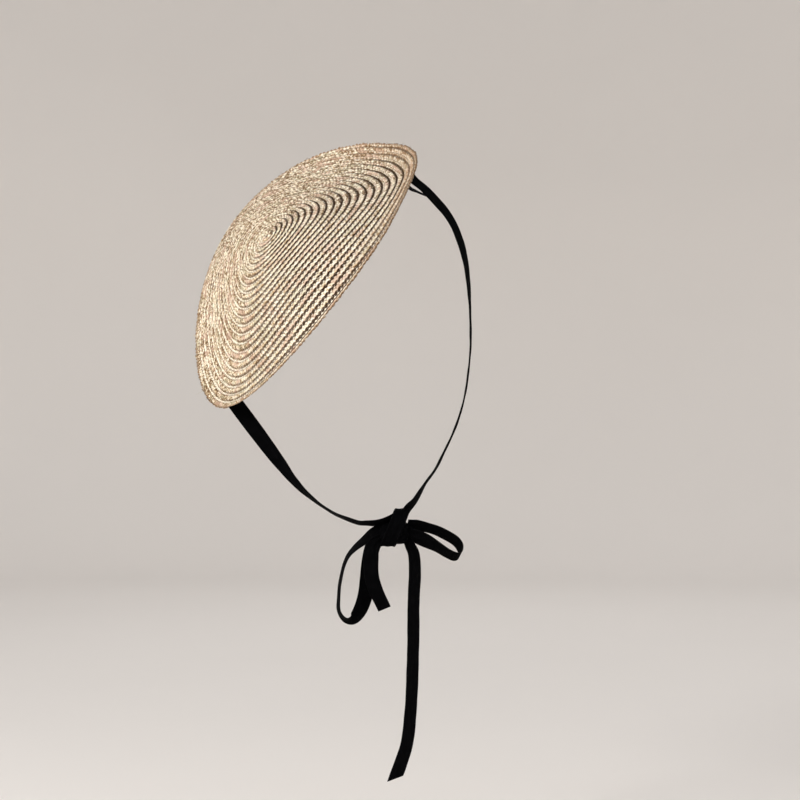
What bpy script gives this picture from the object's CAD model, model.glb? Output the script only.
"""Shallow straw saucer hat with black velvet ribbon ties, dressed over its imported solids.

Metres, +Z up, +X to the right as the front is seen. The hat is shown as worn: the shell slants
with its crown to the upper left, and two ribbons come down from its rim to a bow.
"""

import math

import bpy
import numpy as np
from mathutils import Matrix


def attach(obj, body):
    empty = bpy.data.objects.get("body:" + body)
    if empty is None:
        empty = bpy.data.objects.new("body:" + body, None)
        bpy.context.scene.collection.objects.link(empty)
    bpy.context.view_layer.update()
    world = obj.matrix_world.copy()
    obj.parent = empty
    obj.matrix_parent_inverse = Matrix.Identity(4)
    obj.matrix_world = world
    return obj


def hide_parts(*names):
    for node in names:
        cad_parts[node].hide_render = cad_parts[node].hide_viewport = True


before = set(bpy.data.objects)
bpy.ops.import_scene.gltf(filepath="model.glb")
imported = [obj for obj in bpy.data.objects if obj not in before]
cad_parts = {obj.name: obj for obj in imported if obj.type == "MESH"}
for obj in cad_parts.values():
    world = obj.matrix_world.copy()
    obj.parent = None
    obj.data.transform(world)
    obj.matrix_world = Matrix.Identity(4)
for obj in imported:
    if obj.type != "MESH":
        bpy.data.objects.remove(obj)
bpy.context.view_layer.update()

# The shell: one long plait of split straw, coiled from the middle of the crown to the rim and
# sewn row on row, then blocked to a shallow saucer whose rim drops most at the two ties. Each
# row's outer edge laps over the start of the next row.
HAT_RADIUS = 0.1255
ROWS = 23
FIRST_ROW = 0.79
LEAST_ROW = 0.03
TIE_DROP = 0.0467
SIDE_DROP = 0.0210
LOW_END_LEAN = 0.0063
NEAR_SIDE_DIP = 0.0055
FLARE = 1.42
WALL = 0.0018
SLANT = math.radians(49.55)
ROLL = math.radians(28.46)
SLOPE_STEP = 1e-4

PLAIT_REPEAT = 0.00375
PLAIT_THICKNESS = 0.00095
LAP = 0.22
PLAIT_MIDDLE = (1 - LAP) / 2
PLAIT_HALF = (1 + LAP) / 2
ROW_RAMP = 0.00128
START_RAMP = 0.3
ROW_BULGE = 0.00098
CREST = 0.00060
UNDER_CREST = 0.00018
BACK_ROUNDING = 0.6
GROOVE_DIP = 0.5
GROOVE_WIDTH = 0.16
SCALLOP = 0.13
SCALLOP_MEAN = 0.6
ZIGZAG = 0.14
RAGGED = 0.15
TOOTH_MEAN = 0.7
TOOTH_SWING = 0.5
TOOTH_BEATS = (1.9, 0.83)
TUCK = 0.3
TUCK_ROWS = 0.2
# Each nip of the rim: its middle and spread in degrees, and its depth as a share of the radius.
RIM_NIPS = (
    (-40.0, 18.0, 0.050), (-30.0, 7.0, 0.014), (-13.0, 7.0, -0.008),
    (17.0, 10.0, 0.012), (60.0, 15.0, -0.018),
)
OPENING_LEVEL = 0.6
OPENING_TURN = math.radians(15.0)
LEFT_CLOSING = 0.14
COIL_START = math.radians(200.0)
TAU = 2 * math.pi

UPRIGHT = np.array([-math.sin(SLANT), 0.0, math.cos(SLANT)])
ALONG_TIES = np.array([math.cos(SLANT), 0.0, math.sin(SLANT)])
ACROSS_TIES = math.cos(ROLL) * np.array([0.0, 1.0, 0.0]) + math.sin(ROLL) * UPRIGHT
CROWN = np.cross(ALONG_TIES, ACROSS_TIES)


def shell_height(across, along):
    """Height of the outer face at shares of the radius, with r2 = across^2 + along^2, f the flare:
    lean r2 along - dip along^2 across - tie (1 + f - f r2) along^2 - side across^2.
    """
    r2 = across**2 + along**2
    toward_ties = TIE_DROP * ((1 + FLARE) - FLARE * r2) * along**2
    lean = LOW_END_LEAN * r2 * along - NEAR_SIDE_DIP * along**2 * across
    return lean - toward_ties - SIDE_DROP * across**2


def nipped(radius, angle):
    """The radius less radius (radius / R)^5 nip exp(-((angle - middle) / spread)^2) for each place
    where the rim is drawn in, or let out where the nip is negative.
    """
    degrees = (np.degrees(angle) + 180.0) % 360.0 - 180.0
    nip = sum(
        depth * np.exp(-(((degrees - middle) / spread) ** 2))
        for middle, spread, depth in RIM_NIPS
    )
    return radius * (1 - nip * (radius / HAT_RADIUS) ** 5)


def unit(vectors):
    """The same directions at length 1."""
    return vectors / np.linalg.norm(vectors, axis=-1, keepdims=True)


def worn(radius, angle, depth):
    """The flat hat's point at a radius and an angle, carried to the blocked shell as it is worn:
    (x, y, wall + height) + depth * unit normal, turned onto the shell's own three axes.
    """
    drawn_in = nipped(radius, angle)
    x, y = drawn_in * np.cos(angle), drawn_in * np.sin(angle)
    along, across, step = x / HAT_RADIUS, y / HAT_RADIUS, SLOPE_STEP
    slope_along = shell_height(across, along + step) - shell_height(across, along - step)
    slope_across = shell_height(across + step, along) - shell_height(across - step, along)
    run = np.full_like(x, 2 * step * HAT_RADIUS)
    normal = unit(np.stack([-slope_along, -slope_across, run], axis=-1))
    local = np.stack([x, y, WALL + shell_height(across, along)], axis=-1)
    return (local + normal * depth[..., None]) @ np.array([ALONG_TIES, ACROSS_TIES, CROWN])


def row_radius(row):
    """R (a s + (1 - a) s^2) with s = row / rows and a below 1: the rows widen towards the rim."""
    share = np.maximum(row, LEAST_ROW) / ROWS
    return HAT_RADIUS * (FIRST_ROW * share + (1 - FIRST_ROW) * share**2)


def climb(value, start, span):
    """0 up to the start, then evenly up to 1 over the span."""
    return np.clip((value - start) / span, 0.0, 1.0)


def mesh_piece(name, vertices, faces, material):
    """A smooth object at the origin, from an array of places and a list of faces."""
    mesh = bpy.data.meshes.new(name)
    mesh.from_pydata(vertices.reshape(-1, 3), [], faces)
    mesh.materials.append(material)
    mesh.shade_smooth()
    piece = bpy.data.objects.new(name, mesh)
    bpy.context.scene.collection.objects.link(piece)
    return piece


def tube_faces(stations, ring):
    """Quads of a tube, station by station: (i, j), (i, j + 1), (i + 1, j + 1), (i + 1, j)."""
    i, j = np.meshgrid(np.arange(stations - 1), np.arange(ring), indexing="ij")
    k = (j + 1) % ring
    corners = [i * ring + j, i * ring + k, (i + 1) * ring + k, (i + 1) * ring + j]
    return np.stack(corners, axis=-1).reshape(-1, 4)


def tube_piece(name, places, material):
    """A closed tube from places[station, ring point], with a cap at each end."""
    stations, ring = places.shape[:2]
    caps = [tuple(range(ring - 1, -1, -1)), tuple(range((stations - 1) * ring, stations * ring))]
    return mesh_piece(name, places, [*tube_faces(stations, ring).tolist(), *caps], material)


def give_uv(piece, layer, values):
    """A UV map from one pair of values for each vertex."""
    mesh = piece.data
    corner = np.empty(len(mesh.loops), np.int32)
    mesh.loops.foreach_get("vertex_index", corner)
    uv = mesh.uv_layers.new(name=layer)
    uv.data.foreach_set("uv", values.reshape(-1, 2)[corner].astype(np.float32).ravel())


def give_value(piece, name, values):
    """A number for each vertex, under a name that a finish can read."""
    attribute = piece.data.attributes.new(name, "FLOAT", "POINT")
    attribute.data.foreach_set("value", values.astype(np.float32).ravel())


def plait_crest(repeat, share):
    """How high the splints stand, 0 in a gap and 1 on a back. With u repeats along the plait, v
    from -1 to 1 across it, l = v - zigzag cos(2 pi u), phase = u - |l| + (1/2 where l > 0) and p
    its fraction: sin(pi p)^rounding (1 - dip exp(-(l / width)^2)), for the groove at the middle.
    """
    lean = (share - PLAIT_MIDDLE) / PLAIT_HALF - ZIGZAG * np.cos(TAU * repeat)
    phase = repeat - np.abs(lean) + 0.5 * (lean > 0)
    back = np.sin(math.pi * (phase - np.floor(phase))) ** BACK_ROUNDING
    return back * (1 - GROOVE_DIP * np.exp(-((lean / GROOVE_WIDTH) ** 2)))


def braid(repeat, turn, q, outside, lift=0.0):
    """The coiled plait, over repeats u along it and q from -1 to 1 across it, on either face.
    share t = middle + half q, pushed out by the scallops at the edges; row = turn + t;
    depth = ramp (t - 1) + bulge (1 - q^2) +- sqrt(1 - q^4) (thickness / 2 + crest), and the ramp
    grows over the first turn so that the coil starts flat. The rim ends in uneven teeth,
    ragged (|sin(pi u)| - mean + swing sin(b1 u) sin(b2 u)) of a row long, tucked under there.
    """
    face = np.where(outside, 1.0, -1.0)
    scallop = np.abs(np.sin(math.pi * (repeat + 0.5 * (q > 0)))) - SCALLOP_MEAN
    share = PLAIT_MIDDLE + PLAIT_HALF * q + SCALLOP * scallop * q**5
    body = np.sqrt(1 - np.abs(q) ** 4)
    crest = (plait_crest(repeat, share) - 0.5) * np.where(outside, CREST, UNDER_CREST)
    ramp = ROW_RAMP * (START_RAMP + (1 - START_RAMP) * climb(turn, 0.0, 1.0))
    wall = face * body * (PLAIT_THICKNESS / 2 + crest)
    depth = ramp * (share - 1) + ROW_BULGE * (1 - q**2) + wall
    row = turn + share
    swing = TOOTH_SWING * np.sin(TOOTH_BEATS[0] * repeat) * np.sin(TOOTH_BEATS[1] * repeat)
    rim = ROWS + RAGGED * (np.abs(np.sin(math.pi * repeat)) - TOOTH_MEAN + swing)
    tuck = TUCK * PLAIT_THICKNESS * climb(row, rim, TUCK_ROWS)
    places = worn(row_radius(np.minimum(row, rim)), coil_angle(turn) + 0 * q, depth - tuck + lift)
    return places, share


def coil_angle(turn):
    """The angle round the hat after this many turns of the coil."""
    return COIL_START + TAU * turn


def row_opening(turn):
    """How far the rows stand open, 0 to 1: most on the side nearest the viewer, where the blocked
    shell is bent back, and least on the far side. With s = level - sin(angle - turned)
    - closing clip(-cos(angle)) held from 0 to 1, it is s^2 (3 - 2 s).
    """
    angle = coil_angle(turn)
    left = np.clip(-np.cos(angle), 0.0, 1.0)
    s = np.clip(OPENING_LEVEL - np.sin(angle - OPENING_TURN) - LEFT_CLOSING * left, 0.0, 1.0)
    return s**2 * (3 - 2 * s)


class Shade:
    """A socket in a shader's node tree. Arithmetic on it adds Math nodes, and node() any other."""

    def __init__(self, tree, socket=None):
        self.tree, self.socket = tree, socket

    def node(self, kind, settings=None, inputs=None, output=0):
        """Adds a node: its settings first, with a ramp's colours as stops, then each socket's
        value or link. Gives one output.
        """
        made = self.tree.nodes.new(kind)
        for name, setting in (settings or {}).items():
            if name == "stops":
                ramp = made.color_ramp.elements
                while len(ramp) < len(setting):
                    ramp.new(1.0)
                for stop, (place, colour) in zip(ramp, setting):
                    stop.position, stop.color = place, (*colour, 1.0)
            else:
                setattr(made, name, setting)
        for key, given in (inputs or {}).items():
            if isinstance(given, Shade):
                self.tree.links.new(given.socket, made.inputs[key])
            else:
                made.inputs[key].default_value = given
        return Shade(self.tree, made.outputs[output] if len(made.outputs) else None)

    def also(self, output):
        """Another output of the same node."""
        return Shade(self.tree, self.socket.node.outputs[output])

    def math(self, operation, *others):
        values = dict(enumerate((self, *others)))
        return self.node("ShaderNodeMath", {"operation": operation}, values)

    def step(self, at_none, at_full):
        """Smoothly from 0 at the first value to 1 at the second, whichever of them is less."""
        start, end = (0.0, 1.0) if at_none < at_full else (1.0, 0.0)
        low, high = sorted((at_none, at_full))
        ends = {"From Min": low, "From Max": high, "To Min": start, "To Max": end}
        smoothly = {"interpolation_type": "SMOOTHSTEP"}
        return self.node("ShaderNodeMapRange", smoothly, {"Value": self, **ends})

    def mix(self, colour, share):
        """This colour going over to another as share goes from 0 to 1."""
        values = {0: share, 6: self, 7: colour}
        return self.node("ShaderNodeMix", {"data_type": "RGBA"}, values, output=2)

    def plain(self, colour):
        """One colour all over."""
        made = self.node("ShaderNodeRGB")
        made.socket.default_value = colour
        return made

    def bump(self, strength, distance):
        """The surface's direction, tilted by this height."""
        values = {"Strength": strength, "Distance": distance, "Height": self}
        return self.node("ShaderNodeBump", inputs=values)

    def uv(self, layer):
        """The two values of a UV map."""
        both = self.node("ShaderNodeUVMap", {"uv_map": layer})
        first = self.node("ShaderNodeSeparateXYZ", inputs={0: both})
        return first, first.also(1)

    def place(self):
        """The shaded point's place, in metres."""
        return self.node("ShaderNodeTexCoord", output=3)

    def vector(self, x, y, z):
        """Three values as one place."""
        return self.node("ShaderNodeCombineXYZ", inputs={0: x, 1: y, 2: z})

    def noise(self, scale=1.0, detail=2.0, roughness=0.5):
        """Noise at this place, centred on 0.5."""
        sizes = {"Scale": scale, "Detail": detail, "Roughness": roughness}
        return self.node("ShaderNodeTexNoise", inputs={"Vector": self, **sizes})

    def __add__(self, other):
        return self.math("ADD", other)

    __radd__ = __add__

    def __mul__(self, other):
        return self.math("MULTIPLY", other)

    __rmul__ = __mul__

    def __sub__(self, other):
        return self.math("SUBTRACT", other)

    def __rsub__(self, other):
        return self.math("MULTIPLY_ADD", -1.0, other)

    def __truediv__(self, other):
        return self.math("DIVIDE", other)

    def __gt__(self, other):
        return self.math("GREATER_THAN", other)


def finish(name, paint):
    """A material whose surface is the shader that paint makes in its empty node tree."""
    material = bpy.data.materials.new(name)
    material.use_nodes = True
    material.node_tree.nodes.clear()
    start = Shade(material.node_tree)
    start.node("ShaderNodeOutputMaterial", inputs={"Surface": paint(start)})
    return material


# The straw's colours, from the palest splints to the gaps. Then how many times each pattern
# changes in one repeat along the plait and across its width, which layer of the noise it reads,
# how much each thing moves the tone, and how wide the gaps are as shares of the plait.
PALE = (1.0, 0.925, 0.77)
CREAM = (0.83, 0.670, 0.450)
HONEY = (0.43, 0.280, 0.138)
UMBER = (0.14, 0.078, 0.036)
BLUSH = (0.66, 0.45, 0.34, 1.0)
SAGE = (0.56, 0.53, 0.37, 1.0)
RIM_BROWN = (0.50, 0.315, 0.19, 1.0)
RUSSET = (0.17, 0.088, 0.036, 1.0)
GAP_BROWN = (0.032, 0.013, 0.004, 1.0)
FIBRES_ACROSS, FIBRES_ALONG, SPLINT_SHIFT = 14.0, 1.5, 7.3
FLECKS_ALONG, FLECKS_ACROSS, FLECK_LAYER = 1.9, 3.2, 3.0
DASHES_ALONG, DASH_LAYER = 0.75, 5.0
KNOTS_ALONG, KNOTS_ACROSS, KNOT_LAYER = 2.7, 4.6, 7.0
HUE_ALONG, HUE_ACROSS, HUE_LAYER = 0.30, 0.9, 9.0
WARMTH_ALONG = 0.055
WARMTH_TONE, FIBRE_TONE, SPLINT_TONE, FLECK_TONE = 0.22, 1.2, 0.60, 0.75
MOTTLE, MOTTLE_NEAR, MOTTLE_BLEACHED, MOTTLE_LEFT = 2.45, 1.50, 0.6, 0.8
DARK, DARK_NEAR, DARK_LIP, DARK_CLOSED, DARK_LEFT = 0.38, 0.32, 0.09, 0.10, 0.05
BLEACH, BLEACH_OPEN, BLEACH_LEFT, BLEACH_RIGHT = 0.26, 0.20, 0.58, 0.20
BLUSH_SHARE, SAGE_SHARE, KNOT_SHARE = 0.70, 0.50, 0.50
GAP_WIDTH, GAP_OPENS, GAP_RIGHT, GAP_SHIFT = 0.125, 0.195, 0.035, 0.16
LOWER_LIP = 1.35
TOOTH_PHASE = 0.8
SEAM_WIDTH = 0.14
STRAW_RELIEF = 0.0002


def paint_straw(start):
    """Split straw: pale cream to honey splint by splint, with blush and sage stretches along the
    coil, fine fibres along each splint, and dark gaps where splints cross and rows meet.
    """
    repeat, share = start.uv("plait")
    outer_face, opening, near_side, left_side, right_side, rim_rows, rim_edge = (
        start.node("ShaderNodeAttribute", {"attribute_name": name}, output=2)
        for name in (
            "outer_face", "opening", "near_side", "left_side", "right_side",
            "rim_rows", "rim_edge",
        )
    )

    # The plait's pattern, as in plait_crest: which splint this is, and how far across it.
    lean = (share - PLAIT_MIDDLE) / PLAIT_HALF - ZIGZAG * (repeat * TAU).math("COSINE")
    reach = lean.math("ABSOLUTE")
    far_side = lean > 0.0
    phase = repeat - reach + 0.5 * far_side
    splint = phase.math("FLOOR")
    across = phase - splint
    own = start.vector(splint, far_side, 0.0)
    own_tone = start.node("ShaderNodeTexWhiteNoise", {"noise_dimensions": "2D"}, {"Vector": own})
    own_gap = start.node("ShaderNodeSeparateXYZ", inputs={0: own_tone.also(1)}, output=1)
    fibre_place = start.vector(
        phase * FIBRES_ACROSS, reach * FIBRES_ALONG + splint * SPLINT_SHIFT, far_side
    )
    fibres = fibre_place.noise(detail=3.0, roughness=0.6)
    fleck_place = start.vector(repeat * FLECKS_ALONG, share * FLECKS_ACROSS, FLECK_LAYER)
    flecks = fleck_place.noise(roughness=0.7).step(0.38, 0.62)
    warmth = start.vector(repeat * WARMTH_ALONG, 0.0, 0.0).noise()
    hue = start.vector(repeat * HUE_ALONG, share * HUE_ACROSS, HUE_LAYER).noise(roughness=0.6)

    # A bleached line runs along each row, just past its gap, and is palest on the left.
    past_gap = share - GAP_SHIFT * opening * (1.0 - 0.6 * left_side)
    bleached = past_gap.step(0.08, 0.18) * past_gap.step(0.46, 0.30)
    bleach = BLEACH + BLEACH_OPEN * opening + BLEACH_LEFT * left_side + BLEACH_RIGHT * right_side
    paler = bleach * bleached

    # The mottle of single splints is strongest on the top and the far side.
    mottle = (own_tone - 0.5) * SPLINT_TONE + (flecks - 0.5) * FLECK_TONE
    evened = MOTTLE - MOTTLE_NEAR * near_side - MOTTLE_BLEACHED * bleached
    evened = evened - MOTTLE_LEFT * left_side
    tone = warmth.step(0.30, 0.72) * WARMTH_TONE + (fibres - 0.5) * FIBRE_TONE + mottle * evened

    # The colour goes from pale to umber with the tone, which is darker away from the viewer and
    # where the rows are closed. The rim is browner, with russet knots.
    dimmed = share.step(0.46, 0.78) * right_side * DARK_LIP + DARK_CLOSED * (1.0 - opening)
    darker = DARK - DARK_NEAR * near_side + (dimmed + DARK_LEFT * left_side)
    stops = ((0.0, PALE), (0.40, CREAM), (0.75, HONEY), (1.0, UMBER))
    colour = tone.node("ShaderNodeValToRGB", {"stops": stops}, {0: tone + (darker - paler)})
    colour = colour.mix(BLUSH, hue.step(0.53, 0.64) * BLUSH_SHARE)
    colour = colour.mix(SAGE, hue.step(0.45, 0.34) * SAGE_SHARE)
    colour = colour.mix(RIM_BROWN, rim_rows * (0.25 + 0.70 * flecks))
    knot_place = start.vector(repeat * KNOTS_ALONG, share * KNOTS_ACROSS, KNOT_LAYER)
    knots = knot_place.noise(roughness=0.7).step(0.50, 0.66)
    colour = colour.mix(RUSSET, rim_rows * knots * KNOT_SHARE)

    # Small dark gaps in the weave: between splints, and where they cross in the middle.
    crease = across.step(0.20, 0.0) + across.step(0.80, 1.0)
    speck = reach.step(0.36, 0.08) * (across.step(0.44, 0.14) + across.step(0.56, 0.86))
    weave = crease * (0.16 + 0.50 * own_gap) + speck * (0.20 + 1.1 * own_gap)

    # The gap between rows: beaded by the splints' ends, wide where the rows stand open, and broken
    # into dashes on the left. Another runs just within the rim. The rim's edge is shaded, and so
    # is each seam inside the hat.
    dash_place = start.vector(repeat * DASHES_ALONG, DASH_LAYER, 0.0)
    dashes = dash_place.noise(detail=1.0).step(0.30, 0.56)
    teeth = (repeat * math.pi + TOOTH_PHASE).math("SINE").math("ABSOLUTE")
    lip = share.math("MINIMUM", (1.0 - share) * LOWER_LIP)
    wide = GAP_WIDTH + GAP_OPENS * opening - GAP_RIGHT * right_side
    gap = lip / (wide * (0.50 + 0.75 * teeth))
    rim_line = rim_edge.step(0.05, 0.25) * rim_edge.step(0.62, 0.42) * near_side
    whole = 0.88 - 0.66 * left_side
    depth = (0.30 + 0.70 * opening) * (whole + (1.0 - whole) * dashes)
    depth = depth * (1.0 - 0.75 * rim_rows) * (1.0 - 0.40 * left_side)
    under_seam = share.step(1 - LAP - SEAM_WIDTH, 1 - LAP) * 0.75 * (1.0 - outer_face)
    lower_edge = rim_edge.step(0.76, 0.94) * near_side.math("MAXIMUM", right_side * 0.9)
    lower_edge = lower_edge * (0.35 + 0.65 * teeth)
    shadow = gap.step(1.0, 0.60).math("MAXIMUM", rim_line) * depth * outer_face
    core = gap.step(0.92, 0.55).math("MAXIMUM", rim_line) * depth * outer_face
    core = core.math("MAXIMUM", under_seam * 0.8)
    brown = weave.math("MINIMUM", 0.9).math("MAXIMUM", shadow.math("MAXIMUM", under_seam))
    brown = brown.math("MAXIMUM", lower_edge)
    colour = colour.mix(RUSSET, brown * 0.95).mix(GAP_BROWN, core * 0.97)

    relief = (fibres - 0.5) * 0.6 - crease * 0.6 - speck * 0.5
    return start.node("ShaderNodeBsdfPrincipled", inputs={
        "Base Color": colour,
        "Roughness": 0.42 + 0.3 * fibres,
        "Normal": relief.bump(0.8, STRAW_RELIEF),
        "Specular IOR Level": 0.08,
    })


straw = finish("straw", paint_straw)

OUTSIDE_Q = (-1.0, -0.85, -0.64, -0.46, -0.28, -0.10, 0.08, 0.26, 0.44, 0.61, 0.77, 0.89, 0.97)
INSIDE_Q = (1.0, 0.80, 0.50, 0.20, -0.15, -0.50, -0.85)
STATIONS_PER_REPEAT = 7
FINE_TURNS = 24001
COIL_PIECES = ("straw_crown", "straw_inner_rows", "straw_outer_rows", "straw_rim_rows")
# Where each value that the finish reads sets in, in rows, and over how many rows it grows.
OPENING_START, OPENING_TURNS = -0.4, 1.8
BROWN_EDGE_START, BROWN_EDGE_ROWS = 22.75, 0.2
BROWN_TIE_START, BROWN_TIE_ROWS, BROWN_TIE_SHARE = 20.2, 0.9, 0.75
BROWN_TIE_TURN = math.radians(18.0)
RIM_EDGE_START, RIM_EDGE_ROWS = 22.5, 0.5

section = np.array(OUTSIDE_Q + INSIDE_Q)
on_outside = np.arange(len(section)) < len(OUTSIDE_Q)
fine_turns = np.linspace(-1.0, ROWS, FINE_TURNS)
fine_lengths = np.cumsum(TAU * row_radius(fine_turns + 0.5)) * (fine_turns[1] - fine_turns[0])
last_repeat = math.floor(fine_lengths[-1] / PLAIT_REPEAT)


def turn_at(repeat):
    """The turn of the coil that a repeat of the plait comes in, by the coil's length up to it."""
    return np.interp(repeat * PLAIT_REPEAT, fine_lengths, fine_turns)


def rim_rows(turn, row):
    """Where the rim is browner, 0 to 1: along its very edge, and over the last three rows by the
    right tie, as share climb(row) clip(cos(angle + turned))^2.
    """
    edge = climb(row, BROWN_EDGE_START, BROWN_EDGE_ROWS)
    by_tie = np.clip(np.cos(coil_angle(turn) + BROWN_TIE_TURN), 0.0, 1.0) ** 2
    inward = BROWN_TIE_SHARE * climb(row, BROWN_TIE_START, BROWN_TIE_ROWS)
    return np.clip(edge + inward * by_tie, 0.0, 1.0)


for number, piece_name in enumerate(COIL_PIECES):
    first, last = (last_repeat * k // len(COIL_PIECES) for k in (number, number + 1))
    stations = np.arange((last - first) * STATIONS_PER_REPEAT + 1)[:, None]
    repeats = first + stations / STATIONS_PER_REPEAT
    turns = turn_at(repeats)
    places, plait_share = braid(repeats, turns, section[None, :], on_outside[None, :])
    coil = tube_piece(piece_name, places, straw)
    give_uv(coil, "plait", np.stack(np.broadcast_arrays(repeats, plait_share), axis=-1))
    angle, row = coil_angle(turns), turns + plait_share
    settled = row_opening(turns) * climb(turns, OPENING_START, OPENING_TURNS)
    for name, value in (
        ("outer_face", on_outside[None, :]),
        ("opening", settled),
        ("near_side", np.clip(-np.sin(angle), 0.0, 1.0)),
        ("left_side", np.clip(-np.cos(angle), 0.0, 1.0)),
        ("right_side", np.clip(np.cos(angle), 0.0, 1.0)),
        ("rim_rows", rim_rows(turns, row)),
        ("rim_edge", climb(row, RIM_EDGE_START, RIM_EDGE_ROWS)),
    ):
        give_value(coil, name, value + 0 * plait_share)
    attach(coil, "root")
    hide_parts("straw_shell")

# The sewing: one pale cotton thread that holds each row's outer edge down on the next, in short
# stitches outside and longer ones inside, each sunk into the straw at both ends.
THREAD_RADIUS = 0.00013
STITCH_REPEATS = 1.4
OUTER_STITCH = 0.45
INNER_STITCH = 0.85
STITCH_SINK = 0.00022
STITCH_ARCH = 0.00030
OUTER_STITCH_Q = 0.87
INNER_STITCH_Q = 0.84
TUBE_STATIONS = 5
TUBE_SIDES = 4
TWIST_GRAIN = 2600.0
THREAD_PALE = (0.62, 0.50, 0.36, 1.0)
THREAD_TAN = (0.36, 0.27, 0.18, 1.0)


def fine_tube(start):
    """Stations from a start to 1 along a fine tube, and the angles of the points round it, both
    over tube, station and point.
    """
    stations = np.linspace(start, 1.0, TUBE_STATIONS)[None, :, None]
    return stations, -np.arange(TUBE_SIDES)[None, None, :] * TAU / TUBE_SIDES


def stitches(repeats_long, at_q, outside):
    """Places of every stitch, over stitch, station x from -1 to 1 and four points round the
    thread: along the row by x, and off the plait's face by arch (1 - x^2) - sink.
    """
    x, ring = fine_tube(-1.0)
    count = int(last_repeat / STITCH_REPEATS)
    middle = (np.arange(count) + 0.5)[:, None, None] * STITCH_REPEATS
    side = 1.0 if outside else -1.0
    plait_half = PLAIT_HALF * HAT_RADIUS / ROWS
    lift = side * (STITCH_ARCH * (1 - x**2) - STITCH_SINK) + THREAD_RADIUS * np.sin(ring)
    q = at_q + THREAD_RADIUS / plait_half * np.cos(ring) + 0 * x
    repeat = middle + 0.5 * repeats_long * x + 0 * ring
    return braid(repeat, turn_at(repeat), q, outside, lift)[0]


def many_tubes(name, places, material):
    """Many closed tubes with four sides in one mesh, from places[tube, station, ring point]."""
    count, stations, ring = places.shape[:3]
    sides = tube_faces(stations, ring)
    caps = np.array([np.arange(ring)[::-1], np.arange((stations - 1) * ring, stations * ring)])
    one = np.concatenate([sides, caps])
    every = one[None] + (np.arange(count) * stations * ring)[:, None, None]
    return mesh_piece(name, places, every.reshape(-1, ring).tolist(), material)


def paint_thread(start):
    """Matt cotton thread with a fine twist."""
    twist = start.place().noise(TWIST_GRAIN, roughness=0.6)
    return start.node("ShaderNodeBsdfPrincipled", inputs={
        "Base Color": start.plain(THREAD_PALE).mix(THREAD_TAN, twist.step(0.4, 0.7) * 0.6),
        "Roughness": 0.8,
        "Normal": twist.bump(0.5, 0.0001),
    })


thread = finish("thread", paint_thread)
for piece_name, length, at_q, outside in (
    ("row_stitches_outside", OUTER_STITCH, OUTER_STITCH_Q, True),
    ("row_stitches_inside", INNER_STITCH, INNER_STITCH_Q, False),
):
    piece = many_tubes(piece_name, stitches(length, at_q, outside), thread)
    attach(piece, "root")

# Loose splint ends: where a new straw was plaited in, its tip stands out of the row. They are
# the plait's own split straw, thin and flat, and they give the hat its rough outline. Each has a
# turn of the coil, a share of the plait's width, a run along the row, a spread and a rise.
SPLINT_ENDS = 420
RIM_ENDS = 150
SPLINT_END_WIDTH = 0.00075
SPLINT_END_THICKNESS = 0.00018
WIDTH_TAPER = 0.8
THICKNESS_TAPER = 0.6
SEAT_DEPTH = 0.3
INNERMOST_END = 0.004
END_SHARES, END_SCATTER = (0.30, 0.55, 0.90), 0.05
END_RUN, END_SPREAD, END_RISE = (0.0022, 0.0055), (-0.35, 0.55), (0.0003, 0.0028)
RIM_END_TURN, RIM_END_ROW = (ROWS - 1.98, ROWS - 1.02), ROWS - 0.12
RIM_END_RUN, RIM_END_SPREAD, RIM_END_RISE = (0.0015, 0.0038), (0.05, 0.42), (-0.0004, 0.0014)
STRAY_END = (ROWS - 1 - 0.084, 0.93, 0.0012, 1.15, 0.0010)
TIP_TONES = 400
TIP_SHARE = 0.62
rng = np.random.default_rng(11)


def splint_ends(turn, share, run, spread, rise):
    """Places of the tips, over tip, station s from 0 to 1 and four points round it: along the row
    by run s, across it by spread s, and off the face by rise s^1.5, narrowing by 1 - taper s.
    """
    s, ring = fine_tube(0.0)
    values = (turn, share, run, spread, rise)
    turn, share, run, spread, rise = (value[:, None, None] for value in values)
    ring = np.sign(run) * ring
    radius = row_radius(turn + share + spread * s)
    wide = SPLINT_END_WIDTH / 2 * (1 - WIDTH_TAPER * s) * np.cos(ring)
    thick = SPLINT_END_THICKNESS / 2 * (1 - THICKNESS_TAPER * s) * np.sin(ring)
    lean = np.hypot(run, spread * HAT_RADIUS / ROWS)
    angle = coil_angle(turn) + (run * s - wide * spread * HAT_RADIUS / ROWS / lean) / radius
    depth = PLAIT_THICKNESS * SEAT_DEPTH + rise * s**1.5 + thick
    return worn(radius + wide * run / lean, angle, depth)


crown_ends = [
    ROWS * np.sqrt(rng.uniform(INNERMOST_END, 1.0, SPLINT_ENDS)) - 1,
    rng.choice(END_SHARES, SPLINT_ENDS) + rng.normal(0, END_SCATTER, SPLINT_ENDS),
    rng.choice([-1.0, 1.0], SPLINT_ENDS) * rng.uniform(*END_RUN, SPLINT_ENDS),
    rng.uniform(*END_SPREAD, SPLINT_ENDS),
    rng.uniform(*END_RISE, SPLINT_ENDS),
]
rim_turn = rng.uniform(*RIM_END_TURN, RIM_ENDS)
rim_ends = [
    rim_turn,
    RIM_END_ROW - rim_turn,
    rng.choice([-1.0, 1.0], RIM_ENDS) * rng.uniform(*RIM_END_RUN, RIM_ENDS),
    rng.uniform(*RIM_END_SPREAD, RIM_ENDS),
    rng.uniform(*RIM_END_RISE, RIM_ENDS),
]
stray_end = np.array(STRAY_END)[:, None]
tips = splint_ends(*np.concatenate([crown_ends, rim_ends, stray_end], axis=1))
loose_ends = many_tubes("loose_splint_ends", tips, straw)
tip_points = tips.shape[1] * tips.shape[2]
tip_repeat = np.repeat(rng.uniform(0, TIP_TONES, len(tips)), tip_points)
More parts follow.
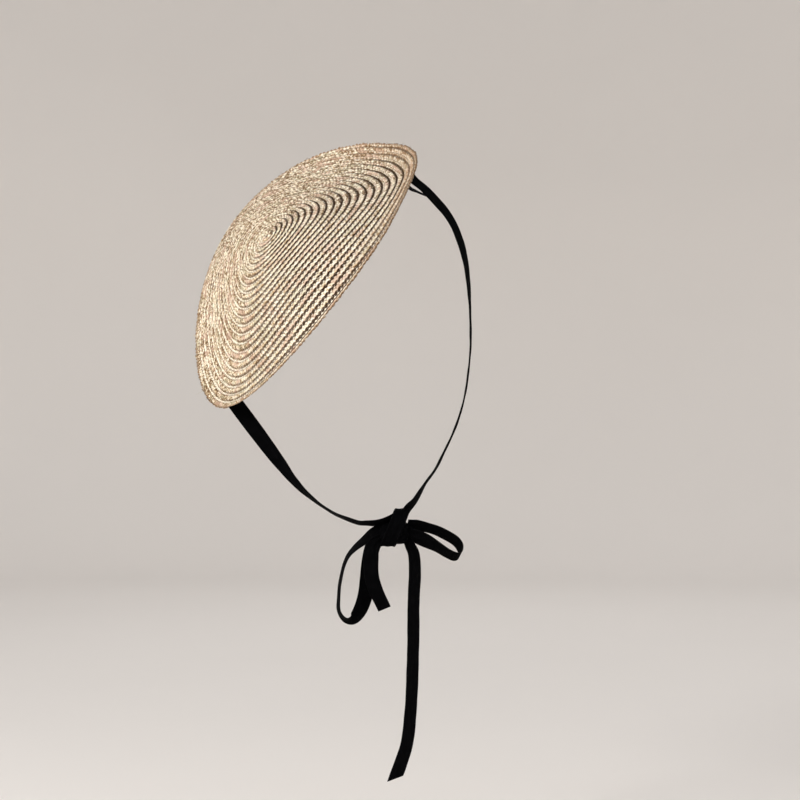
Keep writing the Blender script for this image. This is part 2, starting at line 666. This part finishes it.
tip_uv = np.stack([tip_repeat, np.full_like(tip_repeat, TIP_SHARE)], axis=-1)
give_uv(loose_ends, "plait", tip_uv)
give_value(loose_ends, "outer_face", np.ones_like(tip_repeat))
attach(loose_ends, "root")

# The ribbons: 12 mm black velvet with a low woven edge on each side. They hang from the rim to the
# bow, and each is a limp strip that gathers into folds where it runs into the knot.
RIBBON_WIDTH = 0.0120
PILE_HEIGHT = 0.00060
WEAVE_HEIGHT = 0.00024
WOVEN_EDGE = 0.085
PILE_INSET = 0.4
GATHERS = 2
GATHER_FULLNESS = 1.4
RIPPLE = 0.00012
RIBBON_STEP = 0.0008
ROUTE_STEPS = 2000
SHEAR_SPAN = 0.0150
FRONT = np.array([0.0, -1.0, 0.0])
BOW = np.array([0.0977, -0.0060, -0.2220])
KNOT_WIDTH = 0.0240
KNOT_DEPTH = 0.0160
KNOT_HEIGHT = 0.0280
SEWN_INSET = 0.0140
SEWN_THICKNESS = 0.0020
CLEARANCE = 0.0003

# Each route row: along, out, front, turn in degrees, width. The first three are shares of the
# straight line from start to end; out is to its left hand and front is towards the viewer.
TIE_LEFT_ROUTE = [
    (0.000, 0.000, 0.000, 0, 1.0),
    (0.087, -0.016, 0.052, 0, 1.0),
    (0.200, -0.037, 0.078, 4, 1.0),
    (0.310, -0.058, 0.090, 16, 1.0),
    (0.443, -0.084, 0.092, 36, 1.0),
    (0.560, -0.104, 0.086, 58, 1.0),
    (0.670, -0.108, 0.074, 74, 1.0),
    (0.790, -0.094, 0.054, 78, 1.0),
    (0.903, -0.056, 0.028, 72, 1.0),
    (0.945, -0.027, 0.018, 68, 1.0),
    (0.986, 0.011, 0.008, 62, 1.0),
    (1.017, 0.058, -0.004, 55, 0.95),
    (1.035, 0.110, -0.012, 50, 0.9),
]
TIE_RIGHT_ROUTE = [
    (0.000, 0.000, 0.000, -34, 1.0),
    (0.040, 0.036, -0.028, -54, 1.0),
    (0.077, 0.080, -0.056, -53, 1.0),
    (0.155, 0.146, -0.106, -58, 1.0),
    (0.260, 0.184, -0.144, -66, 1.0),
    (0.391, 0.198, -0.167, -80, 1.0),
    (0.555, 0.197, -0.165, -84, 1.0),
    (0.718, 0.168, -0.130, -84, 1.0),
    (0.860, 0.105, -0.076, -82, 1.0),
    (0.925, 0.062, -0.042, -80, 1.0),
    (0.972, 0.032, -0.016, -69, 1.0),
    (0.996, 0.010, -0.004, -59, 1.0),
    (1.021, -0.009, 0.002, -52, 0.9),
    (1.047, -0.025, 0.004, -50, 0.85),
]
UNDER_LAYER_ROUTE = [
    (0.0000, 0.0000, -0.008, -38, 1.0),
    (0.0473, 0.0088, -0.032, -68, 1.0),
    (0.0632, 0.0248, -0.038, -74, 1.0),
    (0.0714, 0.0425, -0.045, -77, 1.0),
    (0.0785, 0.0600, -0.054, -79, 1.0),
    (0.0870, 0.0810, -0.064, -76, 1.0),
    (0.1030, 0.1010, -0.077, -68, 0.95),
    (0.1160, 0.1140, -0.087, -64, 0.85),
]


def beside_knot(across, front, up):
    """A point at shares of the knot's half sizes from its middle."""
    return BOW + 0.5 * np.array([across * KNOT_WIDTH, -front * KNOT_DEPTH, up * KNOT_HEIGHT])


def inside_rim(side):
    """The middle of a sewn end's inner face, which the tie leaves from."""
    depth = np.array([-(WALL + CLEARANCE + SEWN_THICKNESS)])
    angle = np.array([0.0 if side > 0 else math.pi])
    return worn(np.array([HAT_RADIUS - SEWN_INSET]), angle, depth)[0]


def smooth(values, count):
    """A Catmull-Rom curve through the rows of values, as this many even steps of its parameter."""
    rows = np.vstack([2 * values[0] - values[1], values, 2 * values[-1] - values[-2]])
    place = np.linspace(0.0, len(values) - 1.0, count)
    span = np.minimum(place.astype(int), len(values) - 2)
    t = (place - span)[:, None]
    before, start, end, after = (rows[span + k] for k in range(4))
    bend = (2 * before - 5 * start + 4 * end - after) * t**2
    swing = (3 * start - before - 3 * end + after) * t**3
    return start + 0.5 * ((end - before) * t + bend + swing)


def stepped(line, *values):
    """A line, and values that go along with it, at even steps of about one ribbon step."""
    run = np.concatenate([[0.0], np.cumsum(np.linalg.norm(np.diff(line, axis=0), axis=1))])
    even = np.linspace(0.0, run[-1], 1 + round(run[-1] / RIBBON_STEP))
    return [
        np.stack([np.interp(even, run, column) for column in value.T], axis=1)
        for value in (line, *values)
    ]


def follow(route, start, end):
    """Centre line, unit vectors across and share of full width along a route, a step apart:
    centre = start + along chord + |chord| (out left_hand + front FRONT), and the width turns
    from flat to the viewer at 0 degrees to edge on at 90.
    """
    fine = smooth(np.array(route, float), ROUTE_STEPS)
    chord = end - start
    left_hand = np.array([-chord[2], 0.0, chord[0]]) / math.hypot(chord[0], chord[2])
    offset = fine[:, 1:2] * left_hand + fine[:, 2:3] * FRONT
    line = start + fine[:, :1] * chord + np.linalg.norm(chord) * offset
    centre, turn_and_width = stepped(line, fine[:, 3:])
    turn, width = np.radians(turn_and_width[:, :1]), turn_and_width[:, 1]
    tangent = np.gradient(centre, axis=0)
    flat = unit(np.cross(tangent, FRONT))
    deep = unit(np.cross(tangent, flat))
    return centre, np.cos(turn) * flat + np.sin(turn) * deep, width


PILE_W = np.array([-1, -0.97, -0.93, -0.88, -0.8, -0.66, -0.5, -0.33, -0.17, 0,
                   0.17, 0.33, 0.5, 0.66, 0.8, 0.88, 0.93, 0.97, 1])
BACK_W = np.array([0.97, 0.85, 0.6, 0.36, 0.12, -0.12, -0.36, -0.6, -0.85, -0.97])
# Each ripple: its size, its changes along and across in radians, and its share of the seed.
RIPPLES = ((1.0, 170, 2.1, 1), (0.6, 390, -3.0, 2))


def strip(centre, across, width, facing, cut=0.0, seed=0.0):
    """Ribbon places over stations and a ring of w, from -1 to 1 over the pile and back behind.
    Off its middle it stands gather cos(pi n w) + ripple |w|^1.5, where n gathers keep about the
    ribbon's true width in a narrower place: gather = fullness share width / (2 pi n)
    sqrt(1 / share - 1). A cut slides the far end along by up to cut half widths at its edges.
    """
    w = np.concatenate([PILE_W, BACK_W])
    tangent = unit(np.gradient(centre, axis=0))
    up = facing * np.cross(across, tangent)
    inward = np.clip((1 - np.abs(PILE_W)) / WOVEN_EDGE - PILE_INSET, 0, 1)
    pile = WEAVE_HEIGHT + (PILE_HEIGHT - WEAVE_HEIGHT) * inward**0.5
    height = np.concatenate([pile, np.full(len(BACK_W), -WEAVE_HEIGHT)])
    height[[0, len(PILE_W) - 1]] = 0.0
    share = width[:, None]
    spare = np.sqrt(np.maximum(1 / share - 1, 0))
    gather = share * RIBBON_WIDTH / (TAU * GATHERS) * spare * GATHER_FULLNESS
    run = np.arange(len(centre))[:, None] * RIBBON_STEP
    wave = sum(
        size * np.sin(run * along + lean * w + k * seed) for size, along, lean, k in RIPPLES
    )
    off = height + gather * np.cos(TAU * GATHERS * w / 2) + RIPPLE * wave * np.abs(w) ** 1.5
    shear = climb(run, run[-1] - SHEAR_SPAN, SHEAR_SPAN) ** 1.5
    slide = w * cut * RIBBON_WIDTH / 2 * shear
    middle = centre[:, None, :] + (w * share * RIBBON_WIDTH / 2)[..., None] * across[:, None, :]
    places = middle + off[..., None] * up[:, None, :] + slide[..., None] * tangent[:, None, :]
    uv = np.stack([run / RIBBON_WIDTH + 0 * w, w + 0 * run], axis=-1)
    return (places, uv) if facing > 0 else (places[:, ::-1], uv[:, ::-1])


VELVET_BLACK = (0.0006, 0.0006, 0.0008, 1.0)
NAP_BLACK = (0.0018, 0.0018, 0.0023, 1.0)
EDGE_BLACK = (0.0026, 0.0026, 0.0032, 1.0)
SHEEN_GREY = (0.55, 0.56, 0.62, 1.0)
PILE_GRAIN = 5200.0
NAP_GRAIN = 240.0
EDGE_RIBS = 22.0


def paint_velvet(start):
    """Black velvet: a deep matt pile with a brushed nap, and ribbed edges without pile."""
    run, across = start.uv("ribbon")
    edge = across.math("ABSOLUTE").step(0.90, 0.94)
    place = start.place()
    pile = place.noise(PILE_GRAIN, roughness=0.7)
    nap = place.noise(NAP_GRAIN, detail=3.0)
    ribs = (run * TAU * EDGE_RIBS).math("SINE") * edge
    brushed = (nap.step(0.35, 0.7) * 0.6 + pile * 0.4) * (1.0 - edge)
    relief = pile * (1.0 - edge) + ribs * 0.3 + nap * 0.5
    colour = start.plain(VELVET_BLACK).mix(NAP_BLACK, brushed).mix(EDGE_BLACK, edge * 0.6)
    return start.node("ShaderNodeBsdfPrincipled", inputs={
        "Base Color": colour,
        "Roughness": 0.95 - 0.35 * edge,
        "Normal": relief.bump(0.6, 0.0002),
        "Specular IOR Level": 0.03,
        "Sheen Weight": 0.004,
        "Sheen Roughness": 0.35,
        "Sheen Tint": SHEEN_GREY,
    })


velvet = finish("velvet", paint_velvet)


def ribbon_piece(name, node, path, loop=False, cut=0.0, seed=0.0):
    """One stretch of ribbon on its path, with its pile to the front or on a loop's outside."""
    centre, across, width = path
    facing = 1.0
    if loop:
        tangent = np.gradient(centre, axis=0)
        outward = np.cross(across, tangent) * (centre - centre.mean(axis=0))
        facing = math.copysign(1.0, outward.sum())
    places, uv = strip(centre, across, width, facing, cut, seed)
    piece = tube_piece(name, places, velvet)
    give_uv(piece, "ribbon", uv)
    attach(piece, "root")
    if node:
        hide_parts(node)


right_top, right_foot = inside_rim(1), beside_knot(0.6, 0, 1)
left_tie = follow(TIE_LEFT_ROUTE, inside_rim(-1), beside_knot(-1, 0, 0.1))
right_tie = follow(TIE_RIGHT_ROUTE, right_top, right_foot)
under_layer = follow(UNDER_LAYER_ROUTE, right_top, right_foot)
ribbon_piece("tie_left_ribbon", "tie_left", left_tie, seed=0.4)
ribbon_piece("tie_right_ribbon", "tie_right", right_tie, seed=1.7)
ribbon_piece("tie_right_under_layer", None, under_layer, seed=0.9)

# The sewn ends: the last 24 mm of each ribbon, folded back on itself, laid along the inside of the
# rim and held with small black running stitches down both of its edges.
SEWN_LENGTH = 0.0240
FOLD_RADIUS = 0.00042
FOLD_STAGGER = 0.0008
FOLD_STATIONS, STRAIGHT_STATIONS = 9, 14
STITCH_LENGTH = 0.0017
STITCH_PITCH = 0.0030
BLACK_THREAD_RADIUS = 0.00018
EDGE_SHARE = 0.76
THREAD_BLACK = (0.004, 0.004, 0.005, 1.0)
THREAD_GREY = (0.012, 0.012, 0.014, 1.0)


def folded_end(side):
    """A hairpin along the rim: out along the straw, round half a circle of the fold's radius, and
    back to a stagger short of its start, with its width along the shell's radius.
    """
    bend = np.linspace(0.0, math.pi, FOLD_STATIONS)
    reach = SEWN_LENGTH / 2 - FOLD_RADIUS
    straight = np.linspace(-SEWN_LENGTH / 2, reach, STRAIGHT_STATIONS)
    back = straight[::-1] + FOLD_STAGGER
    arc = np.concatenate([straight, reach + FOLD_RADIUS * np.sin(bend), back])
    turned = FOLD_RADIUS * (1 - np.cos(bend))
    fall = np.concatenate([0 * straight, turned, 0 * straight + 2 * FOLD_RADIUS])
    radius = np.full_like(arc, HAT_RADIUS - SEWN_INSET)
    angle = (0.0 if side > 0 else math.pi) + arc / radius
    depth = -(WALL + CLEARANCE + PILE_HEIGHT + fall)
    line = worn(radius, angle, depth)
    outward = worn(radius + SLOPE_STEP, angle, depth) - line
    centre, across = stepped(line, unit(outward))
    return centre, across, np.ones(len(centre))


def edge_stitches(side):
    """Running stitches down both edges of a sewn end, over stitch, station x from -1 to 1 and four
    points round the thread, each standing off the ribbon by arch (1 - x^2) - sink.
    """
    x, ring = fine_tube(-1.0)
    each = np.arange(-SEWN_LENGTH / 2 + STITCH_PITCH / 2, SEWN_LENGTH / 2, STITCH_PITCH)
    arc = np.concatenate([each, each])[:, None, None] + x * STITCH_LENGTH / 2
    edge = np.repeat([-EDGE_SHARE, EDGE_SHARE], len(each))[:, None, None] * RIBBON_WIDTH / 2
    radius = HAT_RADIUS - SEWN_INSET + edge + BLACK_THREAD_RADIUS * np.cos(ring) + 0 * x
    angle = (0.0 if side > 0 else math.pi) + arc / radius
    arch = STITCH_ARCH * (1 - x**2) - STITCH_SINK
    depth = -(WALL + CLEARANCE + PILE_HEIGHT + 2 * FOLD_RADIUS + PILE_HEIGHT + arch)
    return worn(radius, angle, depth + BLACK_THREAD_RADIUS * np.sin(ring))


def paint_black_thread(start):
    """Black cotton thread, a little glossier than the ribbon."""
    twist = start.place().noise(TWIST_GRAIN, roughness=0.6)
    return start.node("ShaderNodeBsdfPrincipled", inputs={
        "Base Color": start.plain(THREAD_BLACK).mix(THREAD_GREY, twist),
        "Roughness": 0.6 + 0.2 * twist,
    })


black_thread = finish("black_thread", paint_black_thread)
for side, end_name in ((-1, "sewn_end_left"), (1, "sewn_end_right")):
    ribbon_piece(f"{end_name}_ribbon", end_name, folded_end(side), loop=True)
    tacking = many_tubes(f"{end_name}_stitches", edge_stitches(side), black_thread)
    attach(tacking, "root")

# The bow: two loops and two free tails of the same ribbon, the left loop hanging with its outer
# strand edge on, the right one standing out to the side. The tails' ends are cut on the slant.
LEFT_LOOP_REACH, LEFT_LOOP_DROP = 0.0736, 72.0
RIGHT_LOOP_REACH, RIGHT_LOOP_DROP = 0.0455, 26.5
SHORT_TAIL = 0.0532 * np.array([0.075, -0.028, -0.997])
LONG_TAIL = 0.1772 * np.array([-0.050, -0.045, -0.998])
SHORT_CUT = 0.1
LONG_CUT = 0.8
LOOP_LEFT_ROUTE = [
    (-0.021, 0.065, 0.000, 50, 0.9),
    (0.000, 0.000, 0.000, 50, 0.9),
    (0.036, -0.047, 0.000, 52, 1.0),
    (0.138, -0.113, 0.014, 62, 1.0),
    (0.253, -0.185, 0.027, 72, 1.0),
    (0.382, -0.233, 0.041, 78, 1.0),
    (0.600, -0.226, 0.061, 81, 1.0),
    (0.811, -0.181, 0.068, 78, 1.0),
    (0.925, -0.135, 0.050, 74, 1.0),
    (0.985, -0.056, 0.022, 66, 1.0),
    (0.962, 0.024, 0.000, 44, 1.0),
    (0.847, 0.066, -0.014, 25, 1.0),
    (0.685, 0.068, -0.027, 14, 1.0),
    (0.531, 0.040, -0.041, 10, 1.0),
    (0.340, 0.000, -0.054, 8, 1.0),
    (0.180, -0.014, -0.060, 8, 1.0),
    (0.077, 0.010, -0.054, 8, 0.95),
    (0.034, 0.060, -0.040, 8, 0.8),
]
LOOP_RIGHT_ROUTE = [
    (-0.080, 0.020, -0.030, 42, 0.9),
    (0.000, 0.050, -0.050, 42, 0.95),
    (0.087, 0.085, -0.075, 42, 1.0),
    (0.246, 0.126, -0.100, 47, 1.0),
    (0.429, 0.152, -0.112, 48, 1.0),
    (0.625, 0.153, -0.112, 48, 1.0),
    (0.790, 0.132, -0.085, 50, 1.0),
    (0.900, 0.074, -0.035, 60, 1.0),
    (0.940, -0.006, 0.035, 92, 1.0),
    (0.890, -0.088, 0.092, 126, 1.0),
    (0.740, -0.100, 0.115, 130, 1.0),
    (0.543, -0.078, 0.115, 136, 1.0),
    (0.264, -0.072, 0.095, 156, 1.0),
    (0.037, -0.088, 0.060, 150, 0.95),
    (-0.050, -0.060, 0.040, 145, 0.9),
]
TAIL_SHORT_ROUTE = [
    (-0.030, 0.075, -0.020, 14, 0.6),
    (0.000, 0.000, 0.000, 14, 0.6),
    (0.070, -0.089, 0.045, 14, 0.8),
    (0.222, -0.133, 0.078, 16, 1.0),
    (0.493, -0.148, 0.090, 20, 1.0),
    (0.728, -0.101, 0.064, 24, 1.0),
    (1.000, 0.000, 0.000, 28, 1.0),
]
TAIL_LONG_ROUTE = [
    (-0.040, -0.012, 0.000, 36, 0.75),
    (-0.024, 0.006, 0.000, 36, 0.8),
    (0.000, 0.018, 0.002, 36, 0.85),
    (0.024, 0.030, 0.006, 38, 0.95),
    (0.061, 0.037, 0.014, 40, 1.0),
    (0.121, 0.041, 0.017, 40, 1.0),
    (0.230, 0.041, 0.018, 40, 1.0),
    (0.403, 0.048, 0.016, 40, 1.0),
    (0.576, 0.052, 0.014, 40, 1.0),
    (0.728, 0.051, 0.012, 40, 1.0),
    (0.859, 0.040, 0.006, 38, 1.0),
    (1.000, 0.000, 0.000, 36, 1.0),
]


def drop(length, side, degrees):
    """A reach of this length, to one side and down by an angle below level."""
    angle = math.radians(degrees)
    return length * np.array([side * math.cos(angle), 0.0, -math.sin(angle)])


left_seat = beside_knot(-1, 0, -0.14)
right_seat = beside_knot(1, 0, 0)
short_seat = beside_knot(-1, 0.56, -0.60)
long_seat = beside_knot(0.75, 0, -1)
left_end = left_seat + drop(LEFT_LOOP_REACH, -1, LEFT_LOOP_DROP)
right_end = right_seat + drop(RIGHT_LOOP_REACH, 1, RIGHT_LOOP_DROP)
left_loop = follow(LOOP_LEFT_ROUTE, left_seat, left_end)
right_loop = follow(LOOP_RIGHT_ROUTE, right_seat, right_end)
short_tail = follow(TAIL_SHORT_ROUTE, short_seat, short_seat + SHORT_TAIL)
long_tail = follow(TAIL_LONG_ROUTE, long_seat, long_seat + LONG_TAIL)
ribbon_piece("bow_loop_left_ribbon", "bow_loop_left", left_loop, loop=True, seed=2.9)
ribbon_piece("bow_loop_right_ribbon", "bow_loop_right", right_loop, loop=True, seed=4.1)
ribbon_piece("tail_short_ribbon", "tail_short", short_tail, cut=SHORT_CUT, seed=5.3)
ribbon_piece("tail_long_ribbon", "tail_long", long_tail, cut=LONG_CUT, seed=6.7)

# The knot: the loops' gathered middle, and one turn of ribbon drawn tight round it, leaning to the
# right at its top, where the right tie comes in.
BUNCH_FOLDS = 5
BUNCH_FOLD_DEPTH = 0.09
BUNCH_MIDDLE = np.array([-0.0008, 0.0, -0.0044])
BUNCH_HALF = (0.0112, 0.0076, 0.0086)
BUNCH_TILT = 0.0014
BUNCH_SIDES = 72
BUNCH_STATIONS = 41
BUNCH_ENDS = 0.9999
BUNCH_PILE = 0.85
TURN_DEPTH = 0.0084
TURN_HEIGHT = 0.0139
TURN_LEAN = 0.0058
TURN_LAP = 0.0008
TURN_ROUNDING = 2.6
TURN_WIDTH = 0.97
TURN_ENDS = (-200.0, 205.0)
TURN_STEPS = 400


def bunch(angle, w):
    """The gathered middle, over the angle round it and w from -1 to 1 across it:
    up, front = half sizes (1 - |w|^5)^(1/3) (1 + d cos(n angle + 2 w)) (cos, sin), and it rises
    by tilt w.
    """
    folds = 1 + BUNCH_FOLD_DEPTH * np.cos(BUNCH_FOLDS * angle + 2 * w)
    size = (1 - np.abs(w) ** 5) ** (1 / 3) * folds
    across, deep, tall = BUNCH_HALF
    up = tall * size * np.cos(angle) + BUNCH_TILT * w
    local = np.stack([across * w + 0 * angle, -deep * size * np.sin(angle), up], axis=-1)
    return BOW + BUNCH_MIDDLE + local


def knot_turn():
    """The turn round the knot, over the angle a from its front: a rounded box
    r = (|cos a|^n + |sin a|^n)^(-1/n), drawn as depth r cos a and height r sin a, leaning by its
    height, with its ends lapped behind.
    """
    angle = np.radians(np.linspace(*TURN_ENDS, TURN_STEPS))
    cosine, sine = np.cos(angle), np.sin(angle)
    radius = np.abs(cosine) ** TURN_ROUNDING + np.abs(sine) ** TURN_ROUNDING
    radius = radius ** (-1 / TURN_ROUNDING)
    lap = TURN_LAP * np.clip(angle / math.pi, -1.0, 1.0)
    line = BOW + np.stack([
        TURN_LEAN * radius * sine,
        -(TURN_DEPTH * radius + lap) * cosine,
        (TURN_HEIGHT * radius + lap) * sine,
    ], axis=1)
    away = np.stack([0 * sine, -cosine / TURN_DEPTH, sine / TURN_HEIGHT], axis=1)
    centre, away = stepped(line, away)
    across = unit(np.cross(np.gradient(centre, axis=0), away))
    return centre, across, np.full(len(centre), TURN_WIDTH)


bunch_angle = (np.arange(BUNCH_SIDES) / BUNCH_SIDES * TAU)[None, :]
bunch_w = np.sin(np.linspace(-0.5, 0.5, BUNCH_STATIONS) * math.pi)[:, None] * BUNCH_ENDS
knot_folds = tube_piece("bow_knot_folds", bunch(bunch_angle, bunch_w), velvet)
folds_uv = np.broadcast_arrays(bunch_angle, BUNCH_PILE * bunch_w)
give_uv(knot_folds, "ribbon", np.stack(folds_uv, axis=-1))
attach(knot_folds, "root")
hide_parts("bow_knot")
ribbon_piece("bow_knot_turn", "bow_knot", knot_turn(), loop=True, seed=3.3)

# The floor and the light: a plain pale studio floor that curves up all round, far below the hat,
# with one large soft light from the upper left and weaker ones to fill.
FLOOR_DROP = 0.46
FLOOR_RADII = (0.00001, 0.8, 1.6)
FLOOR_RADIUS = 2.3
WALL_RADIUS = 3.0
WALL_TOP = 3.0
FLOOR_SIDES = 96
COVE_STATIONS = 17
FLOOR_GRAIN = 1.3
FLOOR_PALE = (0.78, 0.745, 0.71, 1.0)
FLOOR_PALER = (0.83, 0.795, 0.76, 1.0)
KEY_WHITE = (1.0, 0.985, 0.96)
SKY_WHITE = (0.93, 0.95, 1.0, 1.0)
SKY_STRENGTH = 0.34
LIT_POINT = (0.03, 0.0, -0.05)


def paint_floor(start):
    """Matt pale paint with a faint mottle."""
    mottle = start.place().noise(FLOOR_GRAIN, detail=3.0)
    colour = start.plain(FLOOR_PALE).mix(FLOOR_PALER, mottle)
    return start.node("ShaderNodeBsdfPrincipled", inputs={"Base Color": colour, "Roughness": 0.9})


bend = np.linspace(0.0, math.pi / 2, COVE_STATIONS)
cove = WALL_RADIUS - FLOOR_RADIUS
profile_radius = np.concatenate([FLOOR_RADII, FLOOR_RADIUS + cove * np.sin(bend), [WALL_RADIUS]])
profile_height = np.concatenate([[0.0] * len(FLOOR_RADII), cove * (1 - np.cos(bend)), [WALL_TOP]])
profile_height -= FLOOR_DROP
around = np.arange(FLOOR_SIDES + 1) / FLOOR_SIDES * TAU
floor_places = np.stack([
    profile_radius[None, :] * np.cos(around)[:, None],
    profile_radius[None, :] * np.sin(around)[:, None],
    profile_height[None, :] + 0 * around[:, None],
], axis=-1)
columns = len(profile_radius)
i, j = np.meshgrid(np.arange(FLOOR_SIDES), np.arange(columns - 1), indexing="ij")
corner = i * columns + j
floor_faces = np.stack([corner + columns, corner + columns + 1, corner + 1, corner], axis=-1)
floor_paint = finish("floor_paint", paint_floor)
floor = mesh_piece("studio_floor", floor_places, floor_faces.reshape(-1, 4).tolist(), floor_paint)


def soft_light(name, place, size, power, colour=(1.0, 1.0, 1.0)):
    """A square area light at a place, turned to the lit point."""
    lamp = bpy.data.lights.new(name, "AREA")
    lamp.shape, lamp.size, lamp.energy, lamp.color = "SQUARE", size, power, colour
    holder = bpy.data.objects.new(name, lamp)
    bpy.context.scene.collection.objects.link(holder)
    holder.location = place
    aim = holder.location - type(holder.location)(LIT_POINT)
    holder.rotation_euler = aim.to_track_quat("Z", "Y").to_euler()


soft_light("key", (-1.62, -1.20, 0.72), size=0.9, power=38.0, colour=KEY_WHITE)
soft_light("fill", (1.5, -1.6, 0.9), size=1.6, power=18.0)
soft_light("rear", (0.4, 1.9, 1.6), size=1.4, power=14.0)
world = bpy.data.worlds.new("studio")
bpy.context.scene.world = world
world.use_nodes = True
sky = world.node_tree.nodes["Background"].inputs
sky["Color"].default_value = SKY_WHITE
sky["Strength"].default_value = SKY_STRENGTH

# The camera: level, straight on to the front, at the photograph's distance and angle.
CAMERA_PLACE = (0.1015, -1.60086, -0.12387)
FOCAL_PIXELS = 2080.0
FRAME_PIXELS = 800.0
SENSOR = 36.0
eye = bpy.data.cameras.new("camera")
eye.sensor_width = SENSOR
eye.lens = FOCAL_PIXELS / FRAME_PIXELS * SENSOR
camera = bpy.data.objects.new("camera", eye)
bpy.context.scene.collection.objects.link(camera)
camera.location = CAMERA_PLACE
camera.rotation_euler = (math.pi / 2, 0.0, 0.0)
bpy.context.scene.camera = camera
bpy.context.scene.view_settings.view_transform = "Standard"
